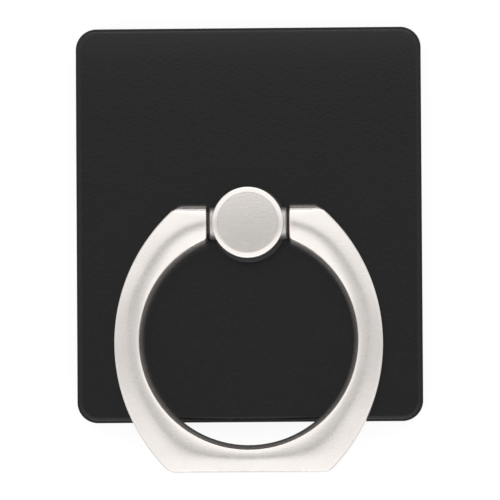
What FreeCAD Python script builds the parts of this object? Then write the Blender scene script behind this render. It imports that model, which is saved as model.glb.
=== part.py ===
import FreeCAD, Part
import math
import os

import Sketcher

Vector = FreeCAD.Vector

# Driving sizes, in millimetres, with angles in degrees
SIZES = {
    # base plate
    "plate_width": "35",
    "plate_height": "40",
    "plate_corner": "2.1",
    "plate_edge": "0.35",
    "web_thick": "0.8",
    # adhesive pad in the plate's back
    "pad_thick": "0.8",
    "pad_seat": "0.5",
    "pad_margin": "1.2",
    "pad_clear": "0.15",
    # swivel: stem, washers and the peened tail that holds them
    "stem_dia": "4",
    "swivel_clear": "0.05",
    "washer_clear": "0.1",
    "glide_dia": "7.3",
    "glide_thick": "0.2",
    "spring_dia": "7.4",
    "spring_gauge": "0.18",
    "spring_height": "0.5",
    "spring_waves": "3",
    "spring_clear": "0.03",
    "keeper_dia": "7.8",
    "keeper_thick": "0.4",
    "well_clear": "0.4",
    "tail_dia": "3",
    "tail_head_dia": "3.8",
    "tail_head_thick": "0.15",
    "tail_clear": "0.15",
    "fit_clear": "0.02",
    # turret and cap
    "flange_dia": "7.7",
    "flange_thick": "0.3",
    "flange_edge": "0.1",
    "neck_dia": "6.4",
    "neck_over": "0.1",
    "barrel_dia": "3.2",
    "barrel_length": "7.85",
    "barrel_edge": "0.12",
    "cap_dia": "7.2",
    "cap_thick": "0.8",
    "cap_rim": "0.45",
    "cap_lip": "0.1",
    "spigot_dia": "2.6",
    "spigot_length": "0.4",
    # hinge
    "pin_dia": "1.5",
    "pin_sink": "0.1",
    "pin_edge": "0.15",
    "pin_clear": "0.03",
    "friction_dia": "2.9",
    "friction_thick": "0.2",
    "friction_clear": "0.02",
    # finger ring
    "bore_dia": "21.1",
    "ring_wall": "3.08",
    "ring_reach": "11.83",
    "ring_thick": "3.6",
    "bevel_width": "0.58",
    "bevel_slope": "55",
    "inner_slope": "5",
    "ridge_offset": "1.6",
    "crown_radius": "1.3",
    "face_slope": "11",
    "side_radius": "18.25",
    "side_drop": "0.3",
    "foot_drop": "13.3",
    "foot_corner": "0.4",
    "ring_edge": "0.3",
    "nose_over": "0.15",
    "swing_clear": "0.25",
    "arm_edge": "0.15",
}

# Levels and fits that follow from the driving sizes, as expressions on the sheet
PLATE_BACK = "(Sizes.pad_thick - Sizes.pad_seat)"
TAIL_END = "(Sizes.pad_thick + Sizes.tail_clear)"
KEEP_BACK = f"({TAIL_END} + Sizes.tail_head_thick)"
KEEP_FACE = f"({KEEP_BACK} + Sizes.keeper_thick)"
WEB_BACK = f"({KEEP_FACE} + Sizes.spring_height)"
PLATE_FACE = f"({WEB_BACK} + Sizes.web_thick)"
FLANGE_BACK = f"({PLATE_FACE} + Sizes.glide_thick)"
FLANGE_FACE = f"({FLANGE_BACK} + Sizes.flange_thick)"
NOSE_RADIUS = "(Sizes.ring_thick / 2 + Sizes.nose_over)"
HINGE_LEVEL = f"({PLATE_FACE} + {NOSE_RADIUS} + Sizes.swing_clear)"
NECK_TOP = f"({HINGE_LEVEL} + Sizes.barrel_dia / 2 + Sizes.neck_over)"
CAP_TOP = f"({NECK_TOP} + Sizes.cap_thick)"
SPIGOT_END = f"({NECK_TOP} - Sizes.spigot_length)"
ARM_GAP = "(Sizes.barrel_length + 2 * Sizes.friction_thick + 4 * Sizes.friction_clear)"
STEM_BORE = "(Sizes.stem_dia + 2 * Sizes.washer_clear)"
TAIL_BORE = "(Sizes.tail_dia + 2 * Sizes.fit_clear)"
PIN_BORE = "(Sizes.pin_dia + 2 * Sizes.pin_clear)"
BROW_RADIUS = "(Sizes.bore_dia / 2 + Sizes.bevel_width)"
RIDGE_RADIUS = "(Sizes.bore_dia / 2 + Sizes.ridge_offset)"
SIDE_LEVEL = "(-Sizes.ring_reach - Sizes.side_drop)"
FOOT_LEVEL = "(-Sizes.ring_reach - Sizes.foot_drop)"
HEAD_LEVEL = f"({NOSE_RADIUS} + Sizes.nose_over)"
SIDE_CROSS = "(Sizes.side_radius - Sizes.bore_dia / 2 - Sizes.ring_wall)"
SHOULDER = f"(sqrt(Sizes.side_radius ^ 2 - ({SIDE_LEVEL} - Sizes.pin_dia / 2) ^ 2) - {SIDE_CROSS})"
FOOT_HALF = f"(sqrt(Sizes.side_radius ^ 2 - (Sizes.foot_drop - Sizes.side_drop) ^ 2) - {SIDE_CROSS})"
HEAD_HALF = f"(sqrt(Sizes.side_radius ^ 2 - ({HEAD_LEVEL} - {SIDE_LEVEL}) ^ 2) - {SIDE_CROSS})"
FOOT_SPAN = f"sqrt({FOOT_HALF} ^ 2 + Sizes.foot_drop ^ 2)"
HEAD_SPAN = f"sqrt({HEAD_HALF} ^ 2 + (Sizes.ring_reach + {HEAD_LEVEL}) ^ 2)"
BLANK_RADIUS = f"(max({FOOT_SPAN}; {HEAD_SPAN}) + Sizes.ring_edge)"
PIN_LENGTH = f"(2 * {SHOULDER} - 2 * Sizes.pin_sink)"
FRICTION_START = "(Sizes.barrel_length / 2 + Sizes.friction_clear)"

# Two places closer than this are the same place
TOUCH = 1e-4

doc = FreeCAD.newDocument("phone_grip")
sheet = doc.addObject("Spreadsheet::Sheet", "Sizes")
for row, (alias, number) in enumerate(SIZES.items(), 1):
    sheet.set(f"A{row}", alias)
    sheet.set(f"B{row}", number)
    sheet.setAlias(f"B{row}", alias)
doc.recompute()


# Sketching helpers


def value(expression):
    """The number that an expression on the sheet comes to."""
    return float(sheet.evalExpression(expression))


def new_body(label):
    body = doc.addObject("PartDesign::Body", label)
    body.Label = label
    return body


def new_sketch(body, name, role, along=None, up=None):
    """A sketch on one of the body's origin planes, shifted along its normal and up in its own plane."""
    sketch = body.newObject("Sketcher::SketchObject", name)
    plane = next(f for f in body.Origin.OriginFeatures if f.Role == role)
    sketch.AttachmentSupport = [(plane, "")]
    sketch.MapMode = "FlatFace"
    if along:
        sketch.setExpression("AttachmentOffset.Base.z", along)
    if up:
        sketch.setExpression("AttachmentOffset.Base.y", up)
    return sketch


def fix(sketch, kind, *where):
    """A geometric constraint, such as Tangent or Horizontal."""
    return sketch.addConstraint(Sketcher.Constraint(kind, *where))


def hold(sketch, kind, *where, by):
    """A dimension whose value is the expression given by."""
    number = value(by)
    if kind == "Angle":
        number = math.radians(number)
        by = f"{by} * 1 deg"
    index = sketch.addConstraint(Sketcher.Constraint(kind, *where, number))
    sketch.setExpression(f"Constraints[{index}]", by)


def hold_point(sketch, shape, point, x, y):
    """Ties one point of a sketch shape to the two coordinates, "0" meaning on the axis."""
    if x == "0":
        fix(sketch, "PointOnObject", shape, point, -2)
    else:
        hold(sketch, "DistanceX", -1, 1, shape, point, by=x)
    if y == "0":
        fix(sketch, "PointOnObject", shape, point, -1)
    else:
        hold(sketch, "DistanceY", -1, 1, shape, point, by=y)


def add_circle(sketch, diameter):
    shape = sketch.addGeometry(Part.Circle(Vector(), Vector(0, 0, 1), value(diameter) / 2))
    fix(sketch, "Coincident", shape, 3, -1, 1)
    hold(sketch, "Diameter", shape, by=diameter)


def add_circle_at(sketch, diameter, x, y):
    centre = Vector(value(x), value(y))
    shape = sketch.addGeometry(Part.Circle(centre, Vector(0, 0, 1), value(diameter) / 2))
    hold_point(sketch, shape, 3, x, y)
    hold(sketch, "Diameter", shape, by=diameter)


def add_polygon(sketch, corners):
    """A closed outline of straight lines, each corner tied to its two expressions."""
    spots = [Vector(value(x), value(y)) for x, y in corners]
    lines = [
        sketch.addGeometry(Part.LineSegment(spot, following))
        for spot, following in zip(spots, spots[1:] + spots[:1])
    ]
    for line, following in zip(lines, lines[1:] + lines[:1]):
        fix(sketch, "Coincident", line, 2, following, 1)
    for line, (x, y) in zip(lines, corners):
        hold_point(sketch, line, 1, x, y)


def add_rounded_rectangle(sketch, width, height, radius):
    """A rectangle with tangent corner arcs, centred on the sketch's origin."""
    arm_x = value(width) / 2 - value(radius)
    arm_y = value(height) / 2 - value(radius)
    centres = [Vector(arm_x, arm_y), Vector(-arm_x, arm_y), Vector(-arm_x, -arm_y), Vector(arm_x, -arm_y)]
    arcs = []
    for turn, centre in enumerate(centres):
        ring = Part.Circle(centre, Vector(0, 0, 1), value(radius))
        arc = Part.ArcOfCircle(ring, turn * math.pi / 2, (turn + 1) * math.pi / 2)
        arcs.append(sketch.addGeometry(arc))
    lines = []
    for arc, following in zip(arcs, arcs[1:] + arcs[:1]):
        side = Part.LineSegment(sketch.getPoint(arc, 2), sketch.getPoint(following, 1))
        lines.append(sketch.addGeometry(side))
    for turn in range(4):
        fix(sketch, "Tangent", arcs[turn], 2, lines[turn], 1)
        fix(sketch, "Tangent", lines[turn], 2, arcs[(turn + 1) % 4], 1)
        fix(sketch, ("Horizontal", "Vertical")[turn % 2], lines[turn])
    for arc in arcs[1:]:
        fix(sketch, "Equal", arcs[0], arc)
    fix(sketch, "Symmetric", arcs[0], 3, arcs[2], 3, -1, 1)
    hold(sketch, "Radius", arcs[0], by=radius)
    hold(sketch, "DistanceX", lines[1], 1, lines[3], 1, by=width)
    hold(sketch, "DistanceY", lines[2], 1, lines[0], 1, by=height)


# Solid feature helpers


def pad(body, sketch, name, length, both_ways=False):
    feature = body.newObject("PartDesign::Pad", name)
    feature.Profile = sketch
    feature.setExpression("Length", length)
    feature.Midplane = both_ways
    doc.recompute()
    return feature


def pocket(body, sketch, name, depth, both_ways=False, reverse=False):
    """A cut along the sketch's normal. A cut that takes nothing away is an error."""
    before = body.Shape.Volume
    feature = body.newObject("PartDesign::Pocket", name)
    feature.Profile = sketch
    feature.setExpression("Length", depth)
    feature.Midplane = both_ways
    feature.Reversed = reverse
    doc.recompute()
    if body.Shape.Volume >= before:
        raise RuntimeError(f"{name} removes nothing")
    return feature


def revolve(body, sketch, name):
    feature = body.newObject("PartDesign::Revolution", name)
    feature.Profile = sketch
    feature.ReferenceAxis = (sketch, ["V_Axis"])
    feature.Angle = 360
    doc.recompute()
    return feature


def edges_where(feature, wanted):
    """Names of the feature's edges that the test wanted accepts."""
    return [f"Edge{i}" for i, edge in enumerate(feature.Shape.Edges, 1) if wanted(edge)]


def dress(body, kind, base, name, size, wanted):
    """A Fillet or a Chamfer on the edges that the test wanted accepts."""
    names = edges_where(base, wanted)
    if not names:
        raise RuntimeError(f"{name} finds no edge")
    feature = body.newObject(f"PartDesign::{kind}", name)
    feature.Base = (base, names)
    feature.setExpression("Radius" if kind == "Fillet" else "Size", size)
    doc.recompute()
    return feature


def points_of(edge):
    """A few points along an edge, its ends included."""
    return edge.discretize(5)


def lies_at_level(level):
    """A test for edges that lie wholly at one height."""
    height = value(level)
    return lambda edge: all(abs(p.z - height) < TOUCH for p in points_of(edge))


def lies_at_ends(length):
    """A test for edges that lie in either end plane of a bar along X."""
    end = value(length) / 2
    return lambda edge: all(abs(abs(p.x) - end) < TOUCH for p in points_of(edge))


def is_rim(level, diameter):
    """A test for the circular edge of one diameter round the swivel axis at one height."""
    height = value(level)
    radius = value(diameter) / 2

    def wanted(edge):
        points = points_of(edge)
        return all(abs(p.z - height) < TOUCH and abs(math.hypot(p.x, p.y) - radius) < TOUCH for p in points)

    return wanted


def make_washer(label, role, start, thick, outer, inner, up=None):
    """A flat washer, its back at start along the plane's normal."""
    body = new_body(label)
    sketch = new_sketch(body, f"{label}_outline", role, along=start, up=up)
    add_circle(sketch, outer)
    add_circle(sketch, inner)
    pad(body, sketch, f"{label}_pad", thick)
    return body


# Base plate: moulded slab with a softened front edge, a shallow seat for the pad and a well for the washers


def make_base_plate():
    body = new_body("base_plate")
    outline = new_sketch(body, "plate_outline", "XY_Plane", along=PLATE_BACK)
    add_rounded_rectangle(outline, "Sizes.plate_width", "Sizes.plate_height", "Sizes.plate_corner")
    slab = pad(body, outline, "plate_slab", f"{PLATE_FACE} - {PLATE_BACK}")
    dress(body, "Fillet", slab, "plate_front_edge", "Sizes.plate_edge", lies_at_level(PLATE_FACE))
    seat = new_sketch(body, "pad_seat_outline", "XY_Plane", along=PLATE_BACK)
    add_rounded_rectangle(
        seat,
        "Sizes.plate_width - 2 * Sizes.pad_margin",
        "Sizes.plate_height - 2 * Sizes.pad_margin",
        "Sizes.plate_corner",
    )
    pocket(body, seat, "pad_seat_cut", "Sizes.pad_seat", reverse=True)
    well = new_sketch(body, "well_outline", "XY_Plane", along="Sizes.pad_thick")
    add_circle(well, "Sizes.keeper_dia + 2 * Sizes.well_clear")
    pocket(body, well, "well_cut", f"{WEB_BACK} - Sizes.pad_thick", reverse=True)
    bore = new_sketch(body, "swivel_bore_outline", "XY_Plane", along=WEB_BACK)
    add_circle(bore, "Sizes.stem_dia + 2 * Sizes.swivel_clear")
    pocket(body, bore, "swivel_bore", "Sizes.web_thick", reverse=True)
    return body


# Adhesive pad: foam sheet that lies in the plate's seat and stands proud of its back


def make_adhesive_pad():
    body = new_body("adhesive_pad")
    outline = new_sketch(body, "pad_outline", "XY_Plane")
    add_rounded_rectangle(
        outline,
        "Sizes.plate_width - 2 * Sizes.pad_margin - 2 * Sizes.pad_clear",
        "Sizes.plate_height - 2 * Sizes.pad_margin - 2 * Sizes.pad_clear",
        "Sizes.plate_corner - Sizes.pad_clear",
    )
    pad(body, outline, "pad_sheet", "Sizes.pad_thick")
    return body


# Swivel hub: turret with flange, neck, stem and peened tail, a seat for the cap and a bored cross barrel


def make_swivel_hub():
    body = new_body("swivel_hub")
    barrel = new_sketch(body, "barrel_outline", "YZ_Plane", up=HINGE_LEVEL)
    add_circle(barrel, "Sizes.barrel_dia")
    cross = pad(body, barrel, "barrel", "Sizes.barrel_length", both_ways=True)
    dress(body, "Chamfer", cross, "barrel_ends", "Sizes.barrel_edge", lies_at_ends("Sizes.barrel_length"))
    profile = new_sketch(body, "turret_profile", "XZ_Plane")
    add_polygon(
        profile,
        [
            ("0", TAIL_END),
            ("Sizes.tail_head_dia / 2", TAIL_END),
            ("Sizes.tail_head_dia / 2", KEEP_BACK),
            ("Sizes.tail_dia / 2", KEEP_BACK),
            ("Sizes.tail_dia / 2", KEEP_FACE),
            ("Sizes.stem_dia / 2", KEEP_FACE),
            ("Sizes.stem_dia / 2", FLANGE_BACK),
            ("Sizes.flange_dia / 2", FLANGE_BACK),
            ("Sizes.flange_dia / 2", f"{FLANGE_FACE} - Sizes.flange_edge"),
            ("Sizes.flange_dia / 2 - Sizes.flange_edge", FLANGE_FACE),
            ("Sizes.neck_dia / 2", FLANGE_FACE),
            ("Sizes.neck_dia / 2", NECK_TOP),
            ("0", NECK_TOP),
        ],
    )
    revolve(body, profile, "turret")
    seat = new_sketch(body, "cap_seat_outline", "XY_Plane", along=NECK_TOP)
    add_circle(seat, "Sizes.spigot_dia + 2 * Sizes.fit_clear")
    pocket(body, seat, "cap_seat", "Sizes.spigot_length + Sizes.fit_clear")
    bore = new_sketch(body, "pin_bore_outline", "YZ_Plane", up=HINGE_LEVEL)
    add_circle(bore, PIN_BORE)
    pocket(body, bore, "pin_bore", "Sizes.barrel_length", both_ways=True)
    return body


# Hub cap: turned disc with a rounded rim and a spigot pressed into the turret


def make_hub_cap():
    body = new_body("hub_cap")
    profile = new_sketch(body, "cap_profile", "XZ_Plane")
    add_polygon(
        profile,
        [
            ("0", SPIGOT_END),
            ("Sizes.spigot_dia / 2", SPIGOT_END),
            ("Sizes.spigot_dia / 2", NECK_TOP),
            ("Sizes.cap_dia / 2", NECK_TOP),
            ("Sizes.cap_dia / 2", CAP_TOP),
            ("0", CAP_TOP),
        ],
    )
    disc = revolve(body, profile, "cap_disc")
    rim = dress(body, "Fillet", disc, "cap_top_rim", "Sizes.cap_rim", is_rim(CAP_TOP, "Sizes.cap_dia"))
    dress(body, "Fillet", rim, "cap_under_lip", "Sizes.cap_lip", is_rim(NECK_TOP, "Sizes.cap_dia"))
    return body


# Spring washer: thin ring whose height follows a cosine round its circumference


def make_spring_washer():
    waves = round(value("Sizes.spring_waves"))
    swell = value("(Sizes.spring_height - Sizes.spring_gauge) / 2 - Sizes.spring_clear")
    points_per_wave = 12
    steps = points_per_wave * waves

    def rim(diameter):
        radius = value(diameter) / 2
        points = []
        for step in range(steps):
            turn = 2 * math.pi * step / steps
            height = swell * math.cos(waves * turn)
            points.append(Vector(radius * math.cos(turn), radius * math.sin(turn), height))
        curve = Part.BSplineCurve()
        curve.interpolate(points, PeriodicFlag=True)
        return curve.toShape()

    strip = Part.makeRuledSurface(rim("Sizes.spring_dia"), rim(STEM_BORE))
    washer = doc.addObject("Part::Feature", "spring_washer")
    washer.Label = "spring_washer"
    washer.Shape = strip.extrude(Vector(0, 0, value("Sizes.spring_gauge")))
    level = value(f"({KEEP_FACE} + {WEB_BACK} - Sizes.spring_gauge) / 2")
    washer.Placement = FreeCAD.Placement(Vector(0, 0, level), FreeCAD.Rotation())
    return washer


# Hinge pin: ground steel pin pressed into both arms, its ends a little below the ring's shoulders


def make_hinge_pin():
    body = new_body("hinge_pin")
    outline = new_sketch(body, "pin_outline", "YZ_Plane", up=HINGE_LEVEL)
    add_circle(outline, "Sizes.pin_dia")
    rod = pad(body, outline, "pin_rod", PIN_LENGTH, both_ways=True)
    dress(body, "Chamfer", rod, "pin_ends", "Sizes.pin_edge", lies_at_ends(PIN_LENGTH))
    return body


# Finger ring: crowned ring, trimmed to bowed sides and a flat foot, with two arms that end in round noses


def add_ring_section(sketch):
    """The ring's cross-section, mirrored about its mid plane.

    From an upright waist a bevel rises to the brow. The face then climbs gently to the ridge, rolls over it
    and falls away outward past the farthest corner of the outline.
    """
    bore = value("Sizes.bore_dia / 2")
    ridge = value(RIDGE_RADIUS)
    crown = value("Sizes.crown_radius")
    crown_level = value("Sizes.ring_thick / 2") - crown
    climb = math.radians(value("Sizes.inner_slope"))
    slope = math.radians(value("Sizes.face_slope"))
    bevel = math.radians(value("Sizes.bevel_slope"))
    blank = value(BLANK_RADIUS)
    crest = Vector(ridge - crown * math.sin(climb), crown_level + crown * math.cos(climb))
    brow_x = value(BROW_RADIUS)
    brow = Vector(brow_x, crest.y - (crest.x - brow_x) * math.tan(climb))
    waist_top = Vector(bore, brow.y - (brow_x - bore) * math.tan(bevel))
    fall = Vector(ridge + crown * math.sin(slope), crown_level + crown * math.cos(slope))
    rim = Vector(blank, fall.y - (blank - fall.x) * math.tan(slope))

    def add_line(start, end):
        return sketch.addGeometry(Part.LineSegment(start, end))

    def add_crown(level, start, end):
        circle = Part.Circle(Vector(ridge, level), Vector(0, 0, 1), crown)
        return sketch.addGeometry(Part.ArcOfCircle(circle, start, end))

    def below(point):
        return Vector(point.x, -point.y)

    waist = add_line(below(waist_top), waist_top)
    top_bevel = add_line(waist_top, brow)
    top_inner = add_line(brow, crest)
    top_crown = add_crown(crown_level, math.pi / 2 - slope, math.pi / 2 + climb)
    top_face = add_line(fall, rim)
    outer = add_line(rim, below(rim))
    under_face = add_line(below(rim), below(fall))
    under_crown = add_crown(-crown_level, -math.pi / 2 - climb, slope - math.pi / 2)
    under_inner = add_line(below(crest), below(brow))
    under_bevel = add_line(below(brow), below(waist_top))
    fix(sketch, "Coincident", waist, 2, top_bevel, 1)
    fix(sketch, "Coincident", top_bevel, 2, top_inner, 1)
    fix(sketch, "Tangent", top_inner, 2, top_crown, 2)
    fix(sketch, "Tangent", top_crown, 1, top_face, 1)
    fix(sketch, "Coincident", top_face, 2, outer, 1)
    fix(sketch, "Coincident", outer, 2, under_face, 1)
    fix(sketch, "Tangent", under_face, 2, under_crown, 2)
    fix(sketch, "Tangent", under_crown, 1, under_inner, 1)
    fix(sketch, "Coincident", under_inner, 2, under_bevel, 1)
    fix(sketch, "Coincident", under_bevel, 2, waist, 1)
    fix(sketch, "Equal", top_crown, under_crown)
    fix(sketch, "Symmetric", waist, 1, waist, 2, -1)
    fix(sketch, "Symmetric", top_inner, 1, under_inner, 2, -1)
    fix(sketch, "Symmetric", top_crown, 3, under_crown, 3, -1)
    fix(sketch, "Symmetric", top_face, 2, under_face, 1, -1)
    hold(sketch, "DistanceX", -1, 1, waist, 1, by="Sizes.bore_dia / 2")
    hold(sketch, "DistanceX", -1, 1, top_inner, 1, by=BROW_RADIUS)
    hold(sketch, "Angle", top_bevel, by="Sizes.bevel_slope")
    hold(sketch, "Angle", top_inner, by="Sizes.inner_slope")
    hold(sketch, "Radius", top_crown, by="Sizes.crown_radius")
    hold_point(sketch, top_crown, 3, RIDGE_RADIUS, "Sizes.ring_thick / 2 - Sizes.crown_radius")
    hold(sketch, "DistanceX", -1, 1, outer, 1, by=BLANK_RADIUS)
    hold(sketch, "Angle", top_face, by="-Sizes.face_slope")


def add_ring_outline(sketch):
    """The ring seen from above: two crossed side arcs, a flat foot and a straight top past the noses."""
    radius = value("Sizes.side_radius")
    cross = value(SIDE_CROSS)
    middle = value(SIDE_LEVEL)
    head_lean = math.asin((value(HEAD_LEVEL) - middle) / radius)
    foot_lean = math.asin((value(FOOT_LEVEL) - middle) / radius)
    up = Vector(0, 0, 1)
    right_circle = Part.Circle(Vector(-cross, middle), up, radius)
    left_circle = Part.Circle(Vector(cross, middle), up, radius)
    right = sketch.addGeometry(Part.ArcOfCircle(right_circle, foot_lean, head_lean))
    left = sketch.addGeometry(Part.ArcOfCircle(left_circle, math.pi - head_lean, math.pi - foot_lean))
    head = sketch.addGeometry(Part.LineSegment(sketch.getPoint(right, 2), sketch.getPoint(left, 1)))
    sole = sketch.addGeometry(Part.LineSegment(sketch.getPoint(left, 2), sketch.getPoint(right, 1)))
    fix(sketch, "Coincident", right, 2, head, 1)
    fix(sketch, "Coincident", head, 2, left, 1)
    fix(sketch, "Coincident", left, 2, sole, 1)
    fix(sketch, "Coincident", sole, 2, right, 1)
    fix(sketch, "Horizontal", head)
    fix(sketch, "Horizontal", sole)
    fix(sketch, "Equal", right, left)
    fix(sketch, "Symmetric", right, 3, left, 3, -2)
    hold(sketch, "Radius", right, by="Sizes.side_radius")
    hold_point(sketch, left, 3, SIDE_CROSS, SIDE_LEVEL)
    hold(sketch, "DistanceY", -1, 1, sole, 1, by=FOOT_LEVEL)
    hold(sketch, "DistanceY", -1, 1, head, 1, by=HEAD_LEVEL)


def add_nose_waste(sketch):
    """What the arms lose beyond the hinge axis: everything outside a half round about that axis."""
    nose = value(NOSE_RADIUS)
    reach = 2 * nose
    circle = Part.Circle(Vector(), Vector(0, 0, 1), nose)
    arc = sketch.addGeometry(Part.ArcOfCircle(circle, -math.pi / 2, math.pi / 2))
    spots = [
        Vector(0, nose),
        Vector(0, reach),
        Vector(reach, reach),
        Vector(reach, -reach),
        Vector(0, -reach),
        Vector(0, -nose),
    ]
    lines = [sketch.addGeometry(Part.LineSegment(a, b)) for a, b in zip(spots, spots[1:])]
    fix(sketch, "Coincident", arc, 3, -1, 1)
    fix(sketch, "Coincident", arc, 2, lines[0], 1)
    fix(sketch, "Coincident", lines[-1], 2, arc, 1)
    for line, following in zip(lines, lines[1:]):
        fix(sketch, "Coincident", line, 2, following, 1)
    fix(sketch, "PointOnObject", lines[0], 1, -2)
    fix(sketch, "PointOnObject", lines[-1], 2, -2)
    hold(sketch, "Radius", arc, by=NOSE_RADIUS)
    far = f"2 * {NOSE_RADIUS}"
    for line, x, y in ((1, "0", far), (2, far, far), (3, far, f"-{far}"), (4, "0", f"-{far}")):
        hold_point(sketch, lines[line], 1, x, y)


def is_foot_corner():
    """A test for the upright edges where the bowed sides meet the foot."""
    foot = value(FOOT_LEVEL)

    def wanted(edge):
        first, *_, last = points = points_of(edge)
        upright = math.hypot(last.x - first.x, last.y - first.y) < TOUCH
        return upright and all(abs(p.y - foot) < TOUCH for p in points)

    return wanted


def is_ring_edge():
    """A test for the upper and lower edges of the bowed sides and the foot."""
    reach = value("Sizes.ring_reach")
    inner = value(f"{RIDGE_RADIUS} + Sizes.crown_radius / 2")
    head = value(HEAD_LEVEL)

    def wanted(edge):
        points = points_of(edge)
        outside = all(math.hypot(p.x, p.y + reach) > inner for p in points)
        one_side = all(p.z > 0 for p in points) or all(p.z < 0 for p in points)
        return outside and one_side and any(p.y < head - TOUCH for p in points)

    return wanted


def make_finger_ring():
    body = new_body("finger_ring")
    body.setExpression("Placement.Base.z", HINGE_LEVEL)
    section = new_sketch(body, "ring_section", "XZ_Plane", along="Sizes.ring_reach")
    add_ring_section(section)
    revolve(body, section, "ring_blank")
    outline = new_sketch(body, "ring_outline", "XY_Plane")
    add_ring_outline(outline)
    add_circle_at(outline, "4 * Sizes.side_radius", "0", "-Sizes.ring_reach")
    trimmed = pocket(body, outline, "ring_trim", "2 * Sizes.ring_thick", both_ways=True)
    corners = dress(body, "Fillet", trimmed, "foot_corners", "Sizes.foot_corner", is_foot_corner())
    dress(body, "Fillet", corners, "ring_edges", "Sizes.ring_edge", is_ring_edge())
    noses = new_sketch(body, "nose_outline", "YZ_Plane")
    add_nose_waste(noses)
    pocket(body, noses, "nose_trim", "2 * Sizes.side_radius", both_ways=True)
    gap = new_sketch(body, "arm_gap_outline", "XY_Plane")
    half_gap = f"{ARM_GAP} / 2"
    past_nose = f"2 * {NOSE_RADIUS}"
    add_polygon(
        gap,
        [
            (f"-{half_gap}", "-Sizes.ring_reach"),
            (half_gap, "-Sizes.ring_reach"),
            (half_gap, past_nose),
            (f"-{half_gap}", past_nose),
        ],
    )
    cut = pocket(body, gap, "arm_gap", "2 * Sizes.ring_thick", both_ways=True)
    dress(body, "Fillet", cut, "arm_ends", "Sizes.arm_edge", lies_at_ends(ARM_GAP))
    hole = new_sketch(body, "pin_hole_outline", "YZ_Plane")
    add_circle(hole, "Sizes.pin_dia + 2 * Sizes.fit_clear")
    pocket(body, hole, "pin_hole", "2 * Sizes.side_radius", both_ways=True)
    return body


# Assembly, from the back of the plate to the ring

nodes = [
    make_base_plate(),
    make_adhesive_pad(),
    make_washer("swivel_washer", "XY_Plane", PLATE_FACE, "Sizes.glide_thick", "Sizes.glide_dia", STEM_BORE),
    make_swivel_hub(),
    make_hub_cap(),
    make_spring_washer(),
    make_washer(
        "retaining_washer", "XY_Plane", KEEP_BACK, "Sizes.keeper_thick", "Sizes.keeper_dia", TAIL_BORE
    ),
    make_hinge_pin(),
    make_finger_ring(),
]
for side, start in (("left", f"-{FRICTION_START} - Sizes.friction_thick"), ("right", FRICTION_START)):
    washer = make_washer(
        f"friction_washer_{side}",
        "YZ_Plane",
        start,
        "Sizes.friction_thick",
        "Sizes.friction_dia",
        PIN_BORE,
        up=HINGE_LEVEL,
    )
    nodes.append(washer)

# Check every object, then write one file for each piece
doc.recompute()
for item in doc.Objects:
    if "Invalid" in item.State or "Error" in item.State:
        raise RuntimeError(f"{item.Name} failed: {item.State}")
for node in nodes:
    if node.Shape.isNull() or not node.Shape.isValid() or len(node.Shape.Solids) != 1:
        raise RuntimeError(f"{node.Label} is not one valid solid")
os.makedirs("parts", exist_ok=True)
for node in nodes:
    node.Shape.exportStep(f"parts/{node.Label}.step")
    print(node.Label, round(node.Shape.Volume, 3), "mm3")
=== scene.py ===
import math

import bmesh
import bpy
import numpy as np
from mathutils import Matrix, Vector


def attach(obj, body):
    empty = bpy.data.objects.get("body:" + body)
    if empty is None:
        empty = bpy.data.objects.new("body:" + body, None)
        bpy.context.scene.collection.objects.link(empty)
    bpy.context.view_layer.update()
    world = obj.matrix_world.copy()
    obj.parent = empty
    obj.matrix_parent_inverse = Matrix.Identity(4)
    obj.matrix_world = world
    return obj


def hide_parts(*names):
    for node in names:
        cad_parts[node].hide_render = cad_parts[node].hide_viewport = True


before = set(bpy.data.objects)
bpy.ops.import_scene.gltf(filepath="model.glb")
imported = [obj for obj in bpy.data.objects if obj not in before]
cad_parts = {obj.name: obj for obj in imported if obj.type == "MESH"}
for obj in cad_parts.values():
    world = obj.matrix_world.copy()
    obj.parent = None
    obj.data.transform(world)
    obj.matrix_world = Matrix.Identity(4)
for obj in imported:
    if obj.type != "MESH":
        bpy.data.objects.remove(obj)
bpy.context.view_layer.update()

# Base plate
# Moulded slab of black ABS that carries the swivel. Its face has a fine spark-eroded grain, falls a little
# towards the head end and rolls into a narrow bevel above a flat lip. Behind are the foam pad's seat and the
# washers' well.

MM = 0.001
plate_half = np.array([17.5, 20.0])
plate_corner = 2.1
plate_back, plate_face = 0.3, 2.8
fall_tilt, fall_reach = 0.11, 2.5
roll_run, roll_slope = 0.14, math.radians(13)
bevel_run, bevel_slope = 0.2, math.radians(41)
lip_run, lip_edge = 0.2, 0.03
side_draft, back_edge = 0.16, 0.1
seat_inset, seat_floor = 1.2, 0.8
well_radius, well_floor, swivel_bore = 4.3, 2.0, 2.05
corner_points, side_points, face_rings, edge_rings = 17, 16, 40, 5
merge_gap, sharp_angle = 0.0001, math.radians(30)
plastic_dark, plastic_light, plastic_cloud = (0.0006, 0.0006, 0.0006), (0.0011, 0.0011, 0.0012), 5
plastic_grain, plastic_relief, plastic_roughness, plastic_shine = 0.3, 0.016, (0.19, 0.25), 0.39
coarse_detail, fine_detail = 2, 3
noise_low, noise_high = 0.3, 0.7


def round_rectangle(half, corner):
    """A rectangle with round corners: an arc about each corner's centre, then a straight run to the next."""
    turn = np.linspace(0, np.pi / 2, corner_points) + np.pi / 2 * np.arange(4)[:, None]
    centres = (half - corner) * np.array([(1, 1), (-1, 1), (-1, -1), (1, -1)])
    arcs = centres[:, None] + corner * np.stack((np.cos(turn), np.sin(turn)), -1)
    share = np.linspace(0, 1, side_points)[1:-1, None]
    runs = arcs[:, -1:] * (1 - share) + np.roll(arcs, -1, axis=0)[:, :1] * share
    return np.concatenate((arcs, runs), axis=1).reshape(-1, 2)


def plate_outline(inset):
    """The plate's outline, moved in."""
    return round_rectangle(plate_half - inset, plate_corner - inset)


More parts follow.
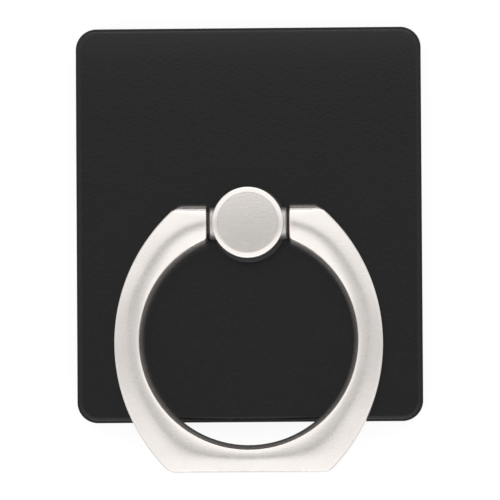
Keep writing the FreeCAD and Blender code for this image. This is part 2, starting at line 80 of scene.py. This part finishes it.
def circle_beside(outline, radius):
    """A circle with one point on the same ray as each point of the outline."""
    return radius * outline / np.linalg.norm(outline, axis=1, keepdims=True)


def face_level(plan):
    """Height of the face, which falls towards the head end by an exponential of the distance to it."""
    return plate_face - fall_tilt * fall_reach * np.exp((plan[:, 1] - plate_half[1]) / fall_reach)


def level_ring(plan, level):
    """A closed curve of the plan, at one height or at a height for each point."""
    return np.column_stack((plan, np.broadcast_to(level, len(plan))))


def make_plate_surface():
    """Closed curves of the plate in order: up the swivel bore, out over the face, down the roll and the
    bevel, over the lip, down the side, in under the back rim, up into the pad's seat, over its floor and up
    the washers' well."""
    outer = plate_outline(0)
    bore = circle_beside(outer, swivel_bore)
    brim = plate_outline(roll_run + bevel_run + lip_run)
    rings = [level_ring(bore, well_floor)]
    for share in np.sin(np.linspace(0, np.pi / 2, face_rings)):
        plan = bore * (1 - share) + brim * share
        rings.append(level_ring(plan, face_level(plan)))
    bevel_top = face_level(brim) - roll_run * math.tan(roll_slope)
    rings.append(level_ring(plate_outline(bevel_run + lip_run), bevel_top))
    lip_level = bevel_top - bevel_run * math.tan(bevel_slope)
    rings.append(level_ring(plate_outline(lip_run), lip_level))
    for turn in np.linspace(0, np.pi / 2, edge_rings):
        plan = plate_outline(lip_edge * (1 - np.sin(turn)))
        rings.append(level_ring(plan, lip_level - lip_edge * (1 - np.cos(turn))))
    for turn in np.linspace(0, np.pi / 2, edge_rings):
        plan = plate_outline(side_draft + back_edge * (1 - np.cos(turn)))
        rings.append(level_ring(plan, plate_back + back_edge * (1 - np.sin(turn))))
    seat = round_rectangle(plate_half - seat_inset, plate_corner)
    well = circle_beside(outer, well_radius)
    rings += [level_ring(seat, plate_back), level_ring(seat, seat_floor)]
    rings += [level_ring(well, seat_floor), level_ring(well, well_floor)]
    return np.array(rings)


def grid_faces(rows, columns, close_rows=False, close_columns=False):
    """Four-cornered faces between neighbours on a grid of points, joined up where it closes on itself."""
    number = np.arange(rows * columns).reshape(rows, columns)
    if close_rows:
        number = np.vstack((number, number[:1]))
    if close_columns:
        number = np.hstack((number, number[:, :1]))
    corners = (number[:-1, :-1], number[1:, :-1], number[1:, 1:], number[:-1, 1:])
    return np.stack(corners, axis=-1).reshape(-1, 4).tolist()


def make_piece(name, points, faces, finish):
    """A mesh object from points in millimetres: doubles merged, faces outward, steep edges kept sharp."""
    mesh = bpy.data.meshes.new(name)
    mesh.from_pydata((points.reshape(-1, 3) * MM).tolist(), [], faces)
    work = bmesh.new()
    work.from_mesh(mesh)
    bmesh.ops.remove_doubles(work, verts=work.verts, dist=merge_gap * MM)
    bmesh.ops.recalc_face_normals(work, faces=work.faces)
    work.to_mesh(mesh)
    work.free()
    mesh.shade_smooth()
    mesh.set_sharp_from_angle(angle=sharp_angle)
    mesh.materials.append(finish)
    piece = bpy.data.objects.new(name, mesh)
    bpy.context.scene.collection.objects.link(piece)
    return piece


def start_finish(name):
    """A new node material: the material, its node tree, its shader and the object coordinates."""
    finish = bpy.data.materials.new(name)
    finish.use_nodes = True
    tree = finish.node_tree
    shader = tree.nodes["Principled BSDF"]
    place = tree.nodes.new("ShaderNodeTexCoord").outputs["Object"]
    return finish, tree, shader, place


def add_grain(tree, place, size, detail=coarse_detail):
    """Noise whose bumps are about size millimetres across."""
    noise = tree.nodes.new("ShaderNodeTexNoise")
    noise.inputs["Scale"].default_value = 1 / (size * MM)
    noise.inputs["Detail"].default_value = detail
    tree.links.new(place, noise.inputs["Vector"])
    return noise.outputs["Fac"]


def add_range(tree, source, low, high, start=noise_low, end=noise_high):
    """Spreads a value between start and end over low to high."""
    spread = tree.nodes.new("ShaderNodeMapRange")
    for socket, number in (("From Min", start), ("From Max", end), ("To Min", low), ("To Max", high)):
        spread.inputs[socket].default_value = number
    tree.links.new(source, spread.inputs["Value"])
    return spread.outputs["Result"]


def set_colour(tree, shader, source, dark, light):
    """Colours the surface from dark to light as the source goes from 0 to 1."""
    mix = tree.nodes.new("ShaderNodeMix")
    mix.data_type = "RGBA"
    tree.links.new(source, mix.inputs["Factor"])
    mix.inputs["A"].default_value = (*dark, 1)
    mix.inputs["B"].default_value = (*light, 1)
    tree.links.new(mix.outputs["Result"], shader.inputs["Base Color"])


def set_roughness(tree, shader, grain, roughness):
    """Lets the roughness follow a noise, between two values."""
    tree.links.new(add_range(tree, grain, *roughness), shader.inputs["Roughness"])


def add_bump(tree, shader, height, depth):
    """Relief of about depth millimetres on the shader's normal."""
    bump = tree.nodes.new("ShaderNodeBump")
    bump.inputs["Distance"].default_value = depth * MM
    tree.links.new(height, bump.inputs["Height"])
    tree.links.new(bump.outputs["Normal"], shader.inputs["Normal"])


def make_black_plastic():
    """Near-black plastic with a broad cloud in its colour, whose shine is broken up by the mould's grain."""
    finish, tree, shader, place = start_finish("black_plastic")
    grain = add_grain(tree, place, plastic_grain, fine_detail)
    cloud = add_range(tree, add_grain(tree, place, plastic_cloud), 0, 1)
    set_colour(tree, shader, cloud, plastic_dark, plastic_light)
    set_roughness(tree, shader, grain, plastic_roughness)
    shader.inputs["Specular IOR Level"].default_value = plastic_shine
    add_bump(tree, shader, grain, plastic_relief)
    return finish


plate_rings = make_plate_surface()
plate_faces = grid_faces(*plate_rings.shape[:2], close_rows=True, close_columns=True)
plate = make_piece("plate", plate_rings, plate_faces, make_black_plastic())
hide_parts("base_plate")
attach(plate, "base")

# Adhesive pad
# Sheet of dark acrylic foam that sticks the grip to a phone. It is die-cut with round corners and pressed
# into the seat in the plate's back.

# The darker grey is painted shade in the pore middles; the lighter grey is the foam's own colour.
foam_pore_shade, foam_light, foam_cloud = (0.020, 0.020, 0.021), (0.055, 0.055, 0.057), 1.5
foam_roughness = (0.75, 0.92)
pore_size, pore_depth, pore_walls = 0.12, 0.02, (0.1, 0.7)


def dress(node, finish):
    """Gives a CAD node's object the finish."""
    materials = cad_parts[node].data.materials
    materials.clear()
    materials.append(finish)


def make_foam():
    """Matte foam made of round pore cells, deep in their middles, where painted shade darkens them."""
    finish, tree, shader, place = start_finish("acrylic_foam")
    cells = tree.nodes.new("ShaderNodeTexVoronoi")
    cells.inputs["Scale"].default_value = 1 / (pore_size * MM)
    tree.links.new(place, cells.inputs["Vector"])
    pore_relief_and_shade = add_range(tree, cells.outputs["Distance"], 0, 1, *pore_walls)
    # Painted shade: the pore middles are coloured darker, as if shadowed.
    set_colour(tree, shader, pore_relief_and_shade, foam_pore_shade, foam_light)
    set_roughness(tree, shader, add_grain(tree, place, foam_cloud), foam_roughness)
    add_bump(tree, shader, pore_relief_and_shade, pore_depth)
    return finish


dress("adhesive_pad", make_foam())

# Washers of the swivel
# A natural nylon washer lets the hub's flange glide on the plate. Under the plate a wave spring and a steel
# washer, stamped and held by the stem's peened tail, keep the swivel stiff.

nylon_dark, nylon_light, nylon_cloud = (0.60, 0.57, 0.50), (0.68, 0.65, 0.58), 0.8
nylon_grain, nylon_roughness = 0.1, (0.42, 0.55)
nylon_haze, haze_depth = 0.1, 0.3
steel_dark, steel_light, steel_roughness = (0.42, 0.42, 0.43), (0.55, 0.55, 0.56), (0.22, 0.36)
scratch_size, scratch_stretch, scratch_depth = 0.3, 12, 0.001


def make_nylon():
    """Cloudy off-white plastic that lets a little light in."""
    finish, tree, shader, place = start_finish("natural_nylon")
    cloud = add_range(tree, add_grain(tree, place, nylon_cloud), 0, 1)
    set_colour(tree, shader, cloud, nylon_dark, nylon_light)
    set_roughness(tree, shader, add_grain(tree, place, nylon_grain), nylon_roughness)
    shader.inputs["Subsurface Weight"].default_value = nylon_haze
    shader.inputs["Subsurface Scale"].default_value = haze_depth * MM
    return finish


def make_ground_steel():
    """Steel with fine grinding scratches along X: a noise that is squeezed across them."""
    finish, tree, shader, place = start_finish("ground_steel")
    stretch = tree.nodes.new("ShaderNodeMapping")
    stretch.inputs["Scale"].default_value = (1, scratch_stretch, 1)
    tree.links.new(place, stretch.inputs["Vector"])
    scratches = add_grain(tree, stretch.outputs["Vector"], scratch_size, fine_detail)
    set_colour(tree, shader, add_range(tree, scratches, 0, 1), steel_dark, steel_light)
    set_roughness(tree, shader, scratches, steel_roughness)
    shader.inputs["Metallic"].default_value = 1
    add_bump(tree, shader, scratches, scratch_depth)
    return finish


dress("swivel_washer", make_nylon())
ground_steel = make_ground_steel()
dress("spring_washer", ground_steel)
dress("retaining_washer", ground_steel)

# Swivel hub
# Zinc turret whose cross barrel carries the hinge, cast and turned. Neck and barrel are plated in satin
# nickel, and the flange on the plate is left black.

flange_top, plating_start = 3.3, 3.42
flange_black, neck_nickel = (0.065, 0.065, 0.066), (0.50, 0.485, 0.475)
hub_grain, hub_relief, hub_roughness = 0.09, 0.0015, (0.36, 0.48)


def make_hub_finish():
    """Satin nickel above the flange, black below: one metal whose colour follows the height."""
    finish, tree, shader, place = start_finish("hub_finish")
    split = tree.nodes.new("ShaderNodeSeparateXYZ")
    tree.links.new(place, split.inputs[0])
    plated = add_range(tree, split.outputs["Z"], 0, 1, flange_top * MM, plating_start * MM)
    set_colour(tree, shader, plated, flange_black, neck_nickel)
    grain = add_grain(tree, place, hub_grain)
    set_roughness(tree, shader, grain, hub_roughness)
    shader.inputs["Metallic"].default_value = 1
    add_bump(tree, shader, grain, hub_relief)
    return finish


dress("swivel_hub", make_hub_finish())

# Hub cap
# Turned zinc disc pressed into the turret by its spigot. A barely domed face lies inside a fine notch and a
# rolled rim, lightly blasted and plated in satin nickel.

cap_radius, cap_foot, cap_top = 3.6, 6.7, 7.5
rim_width, rim_fall, rim_start = 0.54, 0.27, math.radians(17)
notch_width, notch_depth, dome_radius, cap_lip = 0.05, 0.04, 85.0, 0.1
spigot_radius, spigot_end, pole_radius = 1.3, 6.3, 0.02
cap_segments, dome_points, rim_points, cap_lip_points = 160, 24, 17, 7
nickel_dark, nickel_light, nickel_cloud = (0.835, 0.790, 0.757), (0.865, 0.820, 0.785), 2.5
nickel_grain, nickel_relief, nickel_roughness = 0.25, 0.008, (0.19, 0.25)


def turn_profile(profile, segments):
    """A profile of radius and height carried round the swivel axis by the cosine and sine of the turn."""
    turn = np.linspace(0, 2 * np.pi, segments, endpoint=False)[:, None]
    radius, height = profile.T
    return np.stack((radius * np.cos(turn), radius * np.sin(turn), height + 0 * turn), axis=-1)


def make_cap_profile():
    """From the middle of the face to the spigot: a shallow sphere, a narrow notch, most of a quarter ellipse
    for the rim, a wall, a rounded lip and the spigot underneath."""
    face_radius = cap_radius - rim_width
    out = np.linspace(pole_radius, face_radius - notch_width, dome_points)
    face = np.stack((out, cap_top - out**2 / (2 * dome_radius)), -1)
    notch = face[-1] + (notch_width / 2, -notch_depth)
    turn = np.linspace(rim_start, np.pi / 2, rim_points)
    across = (np.sin(turn) - math.sin(rim_start)) / (1 - math.sin(rim_start))
    down = 1 - np.cos(turn) / math.cos(rim_start)
    rim = np.stack((face_radius + rim_width * across, face[-1, 1] - rim_fall * down), -1)
    turn = np.linspace(0, np.pi / 2, cap_lip_points)
    lip_out = cap_radius - cap_lip * (1 - np.cos(turn))
    under = np.stack((lip_out, cap_foot + cap_lip * (1 - np.sin(turn))), -1)
    spigot = [(spigot_radius, cap_foot), (spigot_radius, spigot_end), (pole_radius, spigot_end)]
    return np.concatenate((face, [notch], rim, under, spigot))


def make_satin_nickel():
    """Bright warm metal with a faint blasted grain and a broad cloud in its colour."""
    finish, tree, shader, place = start_finish("satin_nickel")
    grain = add_grain(tree, place, nickel_grain, fine_detail)
    cloud = add_range(tree, add_grain(tree, place, nickel_cloud), 0, 1)
    set_colour(tree, shader, cloud, nickel_dark, nickel_light)
    set_roughness(tree, shader, grain, nickel_roughness)
    shader.inputs["Metallic"].default_value = 1
    add_bump(tree, shader, grain, nickel_relief)
    return finish


satin_nickel = make_satin_nickel()
cap_grid = turn_profile(make_cap_profile(), cap_segments)
profile_points = cap_grid.shape[1]
cap_middles = np.arange(cap_segments) * profile_points + np.array([[0], [profile_points - 1]])
cap_faces = grid_faces(cap_segments, profile_points, close_rows=True) + cap_middles.tolist()
cap = make_piece("cap", cap_grid, cap_faces, satin_nickel)
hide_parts("hub_cap")
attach(cap, "turret")

# Friction washers
# Two thin bronze washers, stamped from strip and browned with use. The hinge pin holds them between the
# barrel's ends and the ring's arms, which they grip.

bronze_dark, bronze_light, stain_size = (0.030, 0.019, 0.014), (0.085, 0.050, 0.031), 0.35
stain_roughness, bronze_metal = (0.55, 0.38), 0.8


def make_brown_bronze():
    """Bronze under brown stains, smoother where the stain is light."""
    finish, tree, shader, place = start_finish("brown_bronze")
    stain = add_grain(tree, place, stain_size, fine_detail)
    set_colour(tree, shader, add_range(tree, stain, 0, 1), bronze_dark, bronze_light)
    set_roughness(tree, shader, stain, stain_roughness)
    shader.inputs["Metallic"].default_value = bronze_metal
    return finish


brown_bronze = make_brown_bronze()
dress("friction_washer_left", brown_bronze)
dress("friction_washer_right", brown_bronze)

# Hinge pin
# Steel pin that the ring folds on, cut from ground rod. It sits in both arms and turns with the ring in the
# turret's barrel.

dress("hinge_pin", ground_steel)

# Finger ring
# Zinc casting with a satin nickel plate: a crowned ring with bowed sides and a flat foot, whose two arms end
# in round knuckles on the hinge pin.

hinge_level, centre_y = 5.0, -11.83
waist_radius, brow_radius = 10.57, 11.14
bevel_arc, bevel_end = 3.4, math.sin(math.radians(50))
ring_half, inner_curve, curve_swing = 1.8, 0.15, 0.06
brow_roll, brow_reach = 0.2, 0.15
outer_slope, slope_swing, bend = 0.175, 0.04, 0.4
foot_bend, foot_angle, foot_spread = 0.6, math.radians(-60), math.radians(11)
ridge_base = 11.90
ridge_swells = ((1.05, 56, 24.4), (0.40, 18, 17), (0.60, -57, 18.5), (-0.11, -90, 18))
side_radius, side_cross, side_level = 18.15, 4.62, -12.13
foot_level, foot_corner = -25.13, 0.4
nose_radius, tip_flat = 1.95, np.radians((46, 64))
outer_edge, edge_fall, edge_fade, blend = 0.15, 0.7, 0.6, 0.09
arm_end, arm_edge, arm_inset = 4.165, 0.15, 0.9
pin_hole, drill_reach = 0.77, 15
tip_sections, side_sections = 34, 170
crowding, crowd_start, crowd_end = 0.135, 0.2, 6
bevel_points, inner_points, outer_points, wall_points = 15, 16, 32, 8
ridge_shares, arm_rings, drill_points = (0.3, 0.7), 7, 48
search_reach, halvings = 1.5, 50


def inside_outline(x, y):
    """How far a point lies inside the outline: two crossed side arcs and a flat foot with round corners."""
    bow = side_radius - np.hypot(np.abs(x) + side_cross, y - side_level)
    sole = y - foot_level
    short = np.hypot(np.maximum(foot_corner - bow, 0), np.maximum(foot_corner - sole, 0))
    return np.where(short > 0, foot_corner - short, np.minimum(bow, sole))


def outline_radius(angle):
    """Distance from the ring's centre to its outline along each angle, found by halving the stretch between
    a radius inside the outline and one outside it."""
    near = np.full_like(angle, waist_radius)
    far = np.full_like(angle, search_reach * side_radius)
    for _ in range(halvings):
        middle = (near + far) / 2
        inside = inside_outline(middle * np.cos(angle), centre_y + middle * np.sin(angle)) > 0
        near, far = np.where(inside, middle, near), np.where(inside, far, middle)
    return near


def ridge_radius(angle):
    """Where the ring is highest: a circle with bell-shaped swells and a dip at the foot's middle, each given
    by its size, angle and width."""
    degrees = np.degrees(angle)
    swells = (size * np.exp(-(((degrees - where) / width) ** 2)) for size, where, width in ridge_swells)
    return ridge_base + sum(swells)


def soften(first, second):
    """The lower of two heights, with a short round where they cross."""
    mix = np.clip(0.5 + (second - first) / (2 * blend), 0, 1)
    return second + (first - second) * mix - blend * mix * (1 - mix)


def ring_height(x, y):
    """Height of the upper face over the ring's middle plane, the least of three forms: the inside bevel, the
    crown and the knuckle. The crown falls inwards from the ridge as a parabola with a short roll at the
    brow. Outwards it bends into a straight slope, more slowly towards the foot's corners. The knuckle is
    round with a flat at its tip, and a narrow bevel breaks the outer edge."""
    radius = np.hypot(x, y - centre_y)
    angle = np.arctan2(y - centre_y, np.abs(x))
    ridge = ridge_radius(angle)
    curve = inner_curve + curve_swing * np.sin(2 * angle)
    slope = outer_slope - slope_swing * np.sin(angle)
    turn = bend + foot_bend * np.exp(-(((angle - foot_angle) / foot_spread) ** 2))
    inward, outward = np.maximum(ridge - radius, 0), np.maximum(radius - ridge, 0)
    roll = brow_roll * brow_reach * np.exp(np.minimum(brow_radius - radius, 0) / brow_reach)
    fall = slope * (outward - turn * (1 - np.exp(-outward / turn)))
    crown = ring_half - curve * inward**2 / 2 - roll - fall
    brow = ring_half - curve * (ridge - brow_radius) ** 2 / 2
    lean = np.clip(bevel_end + (brow_radius - radius) / bevel_arc, 0, 1)
    bevel = brow - bevel_arc * (math.sqrt(1 - bevel_end**2) - np.sqrt(1 - lean**2))
    knuckle = np.sqrt(np.maximum(nose_radius**2 - np.maximum(y, 0) ** 2, 0))
    across, up = nose_radius * np.sin(tip_flat), nose_radius * np.cos(tip_flat)
    knuckle = np.minimum(knuckle, up[0] - (y - across[0]) * math.tan(tip_flat.mean()))
    height = soften(soften(bevel, crown), knuckle)
    edge = np.clip(outer_edge - inside_outline(x, y), 0, outer_edge)
    return np.maximum(height - edge_fall * edge * np.clip(height / edge_fade, 0, 1), 0)


def ring_stations():
    """Inner and outer ends of the sections from the right arm's end to the foot's middle. Over the knuckle
    the outer ends follow its straight tip. Beyond its corner the sections point at the ring's centre, a
    little closer together near the corner."""
    tip_corner = math.sqrt(side_radius**2 - (nose_radius - side_level) ** 2) - side_cross
    corner_angle = math.atan2(nose_radius - centre_y, tip_corner)
    start_angle = math.acos(arm_end / waist_radius)
    share = np.sin(np.linspace(0, np.pi / 2, tip_sections))[:-1]
    tip = np.stack((arm_end + (tip_corner - arm_end) * share, np.full_like(share, nose_radius)), -1)
    tip_angle = start_angle + (corner_angle - start_angle) * share
    run = np.linspace(0, 1, side_sections)
    run = run - crowding * np.sin(np.pi * run / 2) * (1 - run) ** crowd_end * run**crowd_start
    angle = corner_angle - (corner_angle + np.pi / 2) * run
    reach = outline_radius(angle)
    side = np.stack((reach * np.cos(angle), centre_y + reach * np.sin(angle)), -1)
    angle = np.concatenate((tip_angle, angle))
    inner = np.stack((waist_radius * np.cos(angle), centre_y + waist_radius * np.sin(angle)), -1)
    return inner, np.concatenate((tip, side))


def make_ring_grid():
    """Loops of the ring's section from the right arm to the foot. Along each section the points crowd at the
    brow and the outer edge, the underside mirrors the upper face, and a straight wall joins them outside."""
    inner, outer = ring_stations()
    length = np.linalg.norm(outer - inner, axis=1, keepdims=True)
    brow = (brow_radius - waist_radius) / length
    middle = (inner + outer) / 2
    ridge_angle = np.arctan2(middle[:, 1:] - centre_y, middle[:, :1])
    ridge = np.clip((ridge_radius(ridge_angle) - waist_radius) / length, *ridge_shares)
    first = brow * np.sin(np.linspace(0, np.pi / 2, bevel_points))
    second = brow + (ridge - brow) * np.linspace(0, 1, inner_points)[1:]
    third = ridge + (1 - ridge) * np.sin(np.linspace(0, np.pi / 2, outer_points)[1:])
    share = np.concatenate((first, second, third), axis=1)[..., None]
    plan = inner[:, None] * (1 - share) + outer[:, None] * share
    height = ring_height(plan[..., 0], plan[..., 1])[..., None]
    upper = np.concatenate((plan, height), axis=-1)
    drop = np.linspace(1, -1, wall_points)[1:-1, None]
    edge_plan = np.repeat(plan[:, -1:], len(drop), axis=1)
    wall = np.concatenate((edge_plan, height[:, -1:] * drop), axis=-1)
    lower = upper[:, ::-1] * (1, 1, -1)
    return np.concatenate((upper, wall, lower), axis=1)


def round_arm_end(loops):
    """Rounds the edge at the arm's end: the first loop is drawn in towards its middle in steps along a
    quarter circle, with one smaller loop on the flat end, and the loops that these replace are left out."""
    middle = loops[0].mean(axis=0)
    turn = np.linspace(0, np.pi / 2, arm_rings)[:-1, None, None]
    rounded = middle + (loops[0] - middle) * (1 - arm_edge / nose_radius * (1 - np.sin(turn)))
    rounded = rounded + np.array([1, 0, 0]) * arm_edge * (1 - np.cos(turn))
    inset = middle + (rounded[:1] - middle) * arm_inset
    keep = (loops[:, :, 0].min(axis=1) > arm_end + arm_edge) | (loops[:, 0, 1] < centre_y)
    return np.concatenate((inset, rounded, loops[keep]))


def drill_hinge(piece):
    """Cuts the pin's hole along the hinge axis through both arms."""
    turn = np.linspace(0, 2 * np.pi, drill_points, endpoint=False)
    rim = np.stack((0 * turn, pin_hole * np.cos(turn), hinge_level + pin_hole * np.sin(turn)), -1)
    reach = np.array([drill_reach, 0, 0])
    rod = np.array([rim - reach, rim + reach])
    ends = np.arange(2 * drill_points).reshape(2, drill_points).tolist()
    rod_faces = grid_faces(2, drill_points, close_columns=True) + ends
    drill = make_piece("hinge_drill", rod, rod_faces, satin_nickel)
    cut = piece.modifiers.new("hinge_hole", "BOOLEAN")
    cut.object = drill
    drilled = bpy.data.meshes.new_from_object(piece.evaluated_get(bpy.context.evaluated_depsgraph_get()))
    piece.modifiers.clear()
    piece.data = drilled
    drilled.set_sharp_from_angle(angle=sharp_angle)
    bpy.data.objects.remove(drill)


right_half = round_arm_end(make_ring_grid())
ring_grid = np.concatenate((right_half, right_half[-2::-1] * (-1, 1, 1))) + np.array([0, 0, hinge_level])
loop_count, loop_points = ring_grid.shape[:2]
arm_ends = np.arange(loop_count * loop_points).reshape(loop_count, loop_points)[[0, -1]].tolist()
ring_faces = grid_faces(loop_count, loop_points, close_columns=True) + arm_ends
ring = make_piece("ring", ring_grid, ring_faces, satin_nickel)
drill_hinge(ring)
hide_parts("finger_ring")
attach(ring, "ring")

# Floor
# White table that the grip lies on. What the camera and the metal see of it is lifted to white, and the
# grip's shadow stays on it.

floor_half, floor_level = 1500, -0.02
table_grey, table_glow = (0.15, 0.15, 0.15), 0.88


def make_white_table():
    """A matte grey that takes the shadow, and a glow for what the camera, gloss and glass see."""
    finish, tree, shader, _ = start_finish("white_table")
    tree.nodes.remove(shader)
    matte = tree.nodes.new("ShaderNodeBsdfDiffuse")
    matte.inputs["Color"].default_value = (*table_grey, 1)
    glow = tree.nodes.new("ShaderNodeEmission")
    path = tree.nodes.new("ShaderNodeLightPath")
    seen = path.outputs["Is Camera Ray"]
    for kind in ("Is Glossy Ray", "Is Transmission Ray"):
        either = tree.nodes.new("ShaderNodeMath")
        either.operation = "MAXIMUM"
        tree.links.new(seen, either.inputs[0])
        tree.links.new(path.outputs[kind], either.inputs[1])
        seen = either.outputs[0]
    tree.links.new(add_range(tree, seen, 0, table_glow, 0, 1), glow.inputs["Strength"])
    total = tree.nodes.new("ShaderNodeAddShader")
    tree.links.new(matte.outputs[0], total.inputs[0])
    tree.links.new(glow.outputs[0], total.inputs[1])
    tree.links.new(total.outputs[0], tree.nodes["Material Output"].inputs["Surface"])
    return finish


floor_corners = np.array([(-1, -1), (1, -1), (1, 1), (-1, 1)]) * floor_half
floor = make_piece("floor", level_ring(floor_corners, floor_level), [(0, 1, 2, 3)], make_white_table())

# Light
# Two wide light panels face each other across the grip, beyond its head and its foot. They leave a greyer
# gap overhead, where the camera looks through, and greyer ends. A low bright strip in each panel draws the
# line of light on the plate's bevel.

gap_light, panel_light, end_light, horizon_light = 0.35, 1.16, 0.71, 0.70
panel_start, end_start, horizon_end = 0.24, 0.5, 0.5
strip_light, strip_bottom, strip_top, strip_side = 2.6, (0.26, 0.32), (0.44, 0.38), (0.78, 0.86)


def make_light_tent():
    """Brightness by direction: it rises evenly from the gap to the panels and the ends with the slant from
    the upright, and falls off again towards the horizon. The strips lie between two heights, with soft
    borders."""
    room = bpy.data.worlds.new("light_tent")
    bpy.context.scene.world = room
    room.use_nodes = True
    tree = room.node_tree
    split = tree.nodes.new("ShaderNodeSeparateXYZ")
    tree.links.new(tree.nodes.new("ShaderNodeTexCoord").outputs["Generated"], split.inputs[0])

    def size_of(axis):
        """How far the direction points along an axis, either way."""
        size = tree.nodes.new("ShaderNodeMath")
        size.operation = "ABSOLUTE"
        tree.links.new(split.outputs[axis], size.inputs[0])
        return size.outputs[0]

    def rise(source, start, end):
        """A share that goes from 0 to 1 as the source goes from start to end."""
        return add_range(tree, source, 0, 1, start, end)

    def blend_light(share, low, high):
        """Brightness between low and high, each a number or a node's output, by the share."""
        mix = tree.nodes.new("ShaderNodeMix")
        tree.links.new(share, mix.inputs["Factor"])
        for socket, light in (("A", low), ("B", high)):
            if isinstance(light, float):
                mix.inputs[socket].default_value = light
            else:
                tree.links.new(light, mix.inputs[socket])
        return mix.outputs["Result"]

    ends = blend_light(rise(size_of("X"), 0, end_start), gap_light, end_light)
    panels = blend_light(rise(size_of("Y"), 0, panel_start), ends, panel_light)
    light = blend_light(rise(size_of("Z"), 0, horizon_end), horizon_light, panels)
    strip = blend_light(rise(size_of("Y"), *strip_side), light, strip_light)
    strip = blend_light(rise(split.outputs["Z"], *strip_top), light, strip)
    light = blend_light(rise(split.outputs["Z"], *strip_bottom), light, strip)
    background = tree.nodes["Background"]
    background.inputs["Color"].default_value = (1, 1, 1, 1)
    tree.links.new(light, background.inputs["Strength"])


make_light_tent()

# Camera
# It stands nearly overhead, a little towards the ring's foot and the right, and looks through a long lens.
# Its picture is shown with plain tones.

aim = Vector((0.08, -2.57, 2.8)) * MM
distance, nearest, view_width, sensor_width = 0.8, 0.01, 50.62 * MM, 36
lean, side_lean, camera_roll = math.radians(3.0), math.radians(1.9), math.radians(-0.36)

lens = bpy.data.cameras.new("camera")
lens.sensor_width = sensor_width
lens.lens = sensor_width * distance / view_width
lens.clip_start = nearest
camera = bpy.data.objects.new("camera", lens)
camera.rotation_mode = "ZXY"
camera.rotation_euler = (lean, side_lean, camera_roll)
upright = math.cos(lean)
sight = Vector((math.sin(side_lean) * upright, -math.sin(lean), math.cos(side_lean) * upright))
camera.location = aim + distance * sight
bpy.context.scene.collection.objects.link(camera)
bpy.context.scene.camera = camera
bpy.context.scene.view_settings.view_transform = "Standard"
